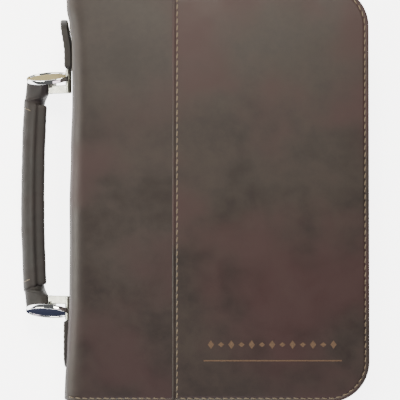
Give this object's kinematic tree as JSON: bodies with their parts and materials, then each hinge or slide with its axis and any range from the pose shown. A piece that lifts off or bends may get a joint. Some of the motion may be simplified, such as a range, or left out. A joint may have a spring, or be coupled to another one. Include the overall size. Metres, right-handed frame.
{
  "type": "zip bible case with bible",
  "caption": "Closed zip-round leather Bible case lying on its back, with a padded carrying handle held to the spine by chrome fittings and a Bible inside.",
  "frame": {"origin": "middle of the back cover's outer face, on which the closed case lies", "axes": "+Z out of the front cover, +Y along the spine to the upper end, the spine and handle at -X"},
  "size_m": [0.2171, 0.2557, 0.048],
  "materials": {
    "cover_leather": "satin, distressed",
    "wrap_leather": "satin, distressed",
    "handle_leather": "satin",
    "bible_leather": "grained",
    "sleeve": "smooth",
    "lining": "woven",
    "board": "plain",
    "padding": "felt",
    "zip_tape": "herringbone",
    "zip_coil": "moulded",
    "zip_metal": "nickel plated",
    "fitting_chrome": "chrome plated",
    "cap_mirror": "mirror chrome",
    "pin_steel": "drawn",
    "pages": "cut edges",
    "headband": "woven",
    "ribbon": "satin weave"
  },
  "bodies": {
    "back": {"back_panel": "cover_leather", "back_wrap": "wrap_leather", "back_board": "board", "back_lining": "lining", "back_sleeve": "sleeve", "back_gusset": "wrap_leather", "back_zip_tape": "zip_tape", "back_zip_coil": "zip_coil", "zip_stops": "zip_metal", "bible_back_cover": "bible_leather", "text_block": "pages", "headbands": "headband", "ribbon_marker": "ribbon"},
    "spine": {"spine_wrap": "wrap_leather", "spine_board": "board", "spine_lining": "lining", "upper_tab": "handle_leather", "lower_tab": "handle_leather", "upper_hinge_pin": "pin_steel", "lower_hinge_pin": "pin_steel", "bible_spine": "bible_leather"},
    "front": {"front_panel": "cover_leather", "front_wrap": "wrap_leather", "front_board": "board", "front_lining": "lining", "front_sleeve": "sleeve", "front_gusset": "wrap_leather", "front_zip_tape": "zip_tape", "front_zip_coil": "zip_coil", "bible_front_cover": "bible_leather"},
    "handle": {"upper_fitting": "fitting_chrome", "lower_fitting": "fitting_chrome", "upper_cap": "cap_mirror", "lower_cap": "cap_mirror", "handle_strap": "handle_leather", "strap_rivets": "fitting_chrome", "grip_padding": "padding", "grip_sleeve": "handle_leather"},
    "slider": {"slider_body": "zip_metal", "slider_bail": "zip_metal"},
    "pull": {"zip_pull": "zip_metal"}
  },
  "joints": [
    {"name": "spine_fold", "type": "hinge", "parent": "back", "child": "spine", "pos_m": [-0.0915, 0, 0], "axis": [0, -1, 0], "range_deg": [0, 90]},
    {"name": "front_fold", "type": "hinge", "parent": "spine", "child": "front", "pos_m": [-0.0915, 0, 0.048], "axis": [0, -1, 0], "range_deg": [0, 90]},
    {"name": "handle_swing", "type": "hinge", "parent": "spine", "child": "handle", "pos_m": [-0.0939, 0, 0.024], "axis": [0, 1, 0], "range_deg": [-20, 60]},
    {"name": "slider_travel", "type": "slide", "parent": "back", "child": "slider", "axis": [1, 0, 0], "range_m": [0, 0.13]},
    {"name": "pull_swing", "type": "hinge", "parent": "slider", "child": "pull", "pos_m": [-0.076, -0.127, 0.024], "axis": [0, 0, -1], "range_deg": [0, 180]}
  ],
  "couplings": [
    {"joint": "front_fold", "follows": "spine_fold", "ratio": 1}
  ]
}
